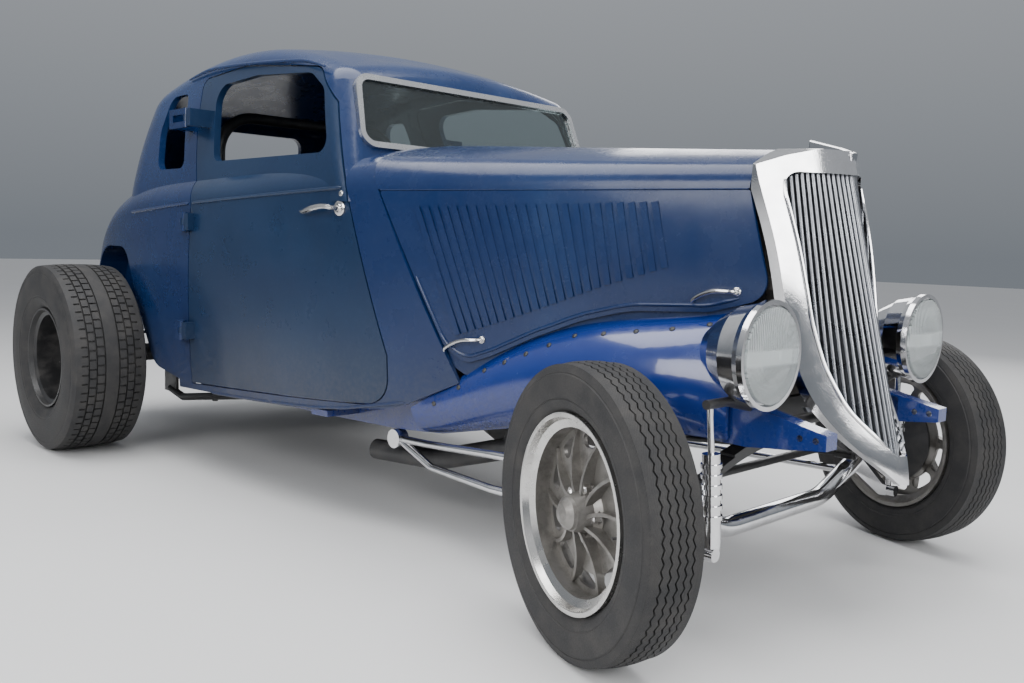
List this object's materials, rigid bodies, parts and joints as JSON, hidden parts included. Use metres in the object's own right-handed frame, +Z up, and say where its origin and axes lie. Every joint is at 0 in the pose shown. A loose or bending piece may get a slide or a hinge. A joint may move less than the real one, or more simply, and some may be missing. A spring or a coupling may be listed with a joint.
{
  "type": "hot rod coupe",
  "caption": "Two-door hot rod coupe with bare front wheels, leaning V grille, louvered folding hood, dropped tube axle and wide rear tyres.",
  "frame": {"origin": "on the ground under the middle of the car's overall length and width", "axes": "+X toward the grille, +Y to the car's left, +Z up"},
  "size_m": [3.864, 1.962, 1.6399],
  "materials": {
    "body_paint": "worn satin",
    "door_paint": "worn satin",
    "apron_paint": "gloss",
    "bright": "polished",
    "grille_paint": "satin",
    "lens_glass": "fluted",
    "screen_glass": "clear",
    "bare_metal": "brushed",
    "black_steel": "satin",
    "cast_grey": "cast",
    "rubber": "matte",
    "engine_iron": "matte",
    "cabin_trim": "matte",
    "seat_cover": "satin",
    "wheel_rim": "matte"
  },
  "bodies": {
    "chassis": {"cab": "body_paint", "cowl": "body_paint", "tail": "body_paint", "windscreen_frame": "bare_metal", "windscreen_glass": "screen_glass", "grille_shell": "bright", "grille_bars": "grille_paint", "headlamp_shells": "bright", "headlamp_lenses": "lens_glass", "frame_rails": "apron_paint", "crossmembers": "apron_paint", "front_axle": "bright", "front_spring": "black_steel", "radius_rods": "bright", "shocks": "bright", "rear_axle": "black_steel", "ladder_bars": "black_steel", "engine_block": "engine_iron", "drive_line": "black_steel", "radiator": "engine_iron", "exhaust_pipes": "black_steel", "floor_pan": "cabin_trim", "steering_column": "black_steel", "seats": "seat_cover", "roll_bar": "black_steel", "aprons": "apron_paint"},
    "knuckle_right": {"knuckle_right": "black_steel"},
    "knuckle_left": {"knuckle_left": "black_steel"},
    "tie_rod": {"tie_rod": "black_steel"},
    "drag_link": {"drag_link": "black_steel"},
    "pitman_arm": {"pitman_arm": "black_steel"},
    "steering_wheel": {"steering_wheel": "wheel_rim"},
    "door_left": {"door_left": "door_paint"},
    "door_right": {"door_right": "door_paint"},
    "deck_lid": {"deck_lid": "body_paint"},
    "hood_top_left": {"hood_top_left": "body_paint"},
    "hood_top_right": {"hood_top_right": "body_paint"},
    "hood_side_left": {"hood_side_left": "body_paint"},
    "hood_side_right": {"hood_side_right": "body_paint"},
    "front_roller_left": {"front_wheel_left": "cast_grey", "front_tyre_left": "rubber"},
    "rear_roller_left": {"rear_wheel_left": "black_steel", "rear_tyre_left": "rubber"},
    "front_roller_right": {"front_wheel_right": "cast_grey", "front_tyre_right": "rubber"},
    "rear_roller_right": {"rear_wheel_right": "black_steel", "rear_tyre_right": "rubber"}
  },
  "joints": [
    {"name": "steer_right", "type": "hinge", "parent": "chassis", "child": "knuckle_right", "pos_m": [1.568, -0.662, 0.332], "axis": [0, 0, 1], "range_deg": [-9, 45]},
    {"name": "steer_left", "type": "hinge", "parent": "chassis", "child": "knuckle_left", "pos_m": [1.568, 0.662, 0.332], "axis": [0, 0, 1], "range_deg": [-9, 45]},
    {"name": "tie_rod_end", "type": "hinge", "parent": "knuckle_right", "child": "tie_rod", "pos_m": [1.42565, -0.6147, 0.292], "axis": [0, 0, 1], "range_deg": [-45, 9]},
    {"name": "drag_link_end", "type": "hinge", "parent": "knuckle_left", "child": "drag_link", "pos_m": [1.42503, 0.7074, 0.247], "axis": [0, 0, 1], "range_deg": [-45, 9]},
    {"name": "pitman_turn", "type": "hinge", "parent": "chassis", "child": "pitman_arm", "pos_m": [1.378, -0.212, 0.408], "axis": [0, 0, 1], "range_deg": [-9, 45]},
    {"name": "steering_wheel_turn", "type": "hinge", "parent": "chassis", "child": "steering_wheel", "pos_m": [-0.072, -0.32, 0.98], "axis": [-0.8499, 0, 0.5269], "range_deg": [-126, 630]},
    {"name": "front_roll_left", "type": "hinge", "parent": "knuckle_left", "child": "front_roller_left", "pos_m": [1.5921, 0.73618, 0.332], "axis": [0.309, 0.9511, 0], "continuous": true},
    {"name": "rear_roll_left", "type": "hinge", "parent": "chassis", "child": "rear_roller_left", "pos_m": [-1.277, 0.831, 0.388], "axis": [0, 1, 0], "continuous": true},
    {"name": "door_left_swing", "type": "hinge", "parent": "chassis", "child": "door_left", "pos_m": [-0.592, 0.684, 0.549], "axis": [0, -0.0275, 0.9996], "range_deg": [0, 70]},
    {"name": "hood_top_left_lift", "type": "hinge", "parent": "chassis", "child": "hood_top_left", "pos_m": [1.578, 0, 1.17767], "axis": [0.9983, 0, -0.0577], "range_deg": [0, 60]},
    {"name": "hood_side_left_fold", "type": "hinge", "parent": "hood_top_left", "child": "hood_side_left", "pos_m": [1.592, 0.24728, 1.066], "axis": [0.9588, -0.284, 0], "range_deg": [0, 80]},
    {"name": "front_roll_right", "type": "hinge", "parent": "knuckle_right", "child": "front_roller_right", "pos_m": [1.5439, -0.73618, 0.332], "axis": [0.309, 0.9511, 0], "continuous": true},
    {"name": "rear_roll_right", "type": "hinge", "parent": "chassis", "child": "rear_roller_right", "pos_m": [-1.277, -0.831, 0.388], "axis": [0, 1, 0], "continuous": true},
    {"name": "door_right_swing", "type": "hinge", "parent": "chassis", "child": "door_right", "pos_m": [-0.592, -0.684, 0.549], "axis": [0, 0.0275, 0.9996], "range_deg": [-70, 0]},
    {"name": "hood_top_right_lift", "type": "hinge", "parent": "chassis", "child": "hood_top_right", "pos_m": [1.578, 0, 1.17767], "axis": [0.9983, 0, -0.0577], "range_deg": [-60, 0]},
    {"name": "hood_side_right_fold", "type": "hinge", "parent": "hood_top_right", "child": "hood_side_right", "pos_m": [1.592, -0.24728, 1.066], "axis": [0.9588, 0.284, 0], "range_deg": [-80, 0]},
    {"name": "deck_lid_lift", "type": "hinge", "parent": "chassis", "child": "deck_lid", "pos_m": [-1.46, 0, 1.06], "axis": [0, 1, 0], "range_deg": [0, 60]}
  ],
  "couplings": [
    {"joint": "steer_left", "follows": "steer_right", "ratio": 1},
    {"joint": "tie_rod_end", "follows": "steer_right", "ratio": -1},
    {"joint": "drag_link_end", "follows": "steer_right", "ratio": -1},
    {"joint": "pitman_turn", "follows": "steer_right", "ratio": 1},
    {"joint": "steering_wheel_turn", "follows": "steer_right", "ratio": 14}
  ]
}
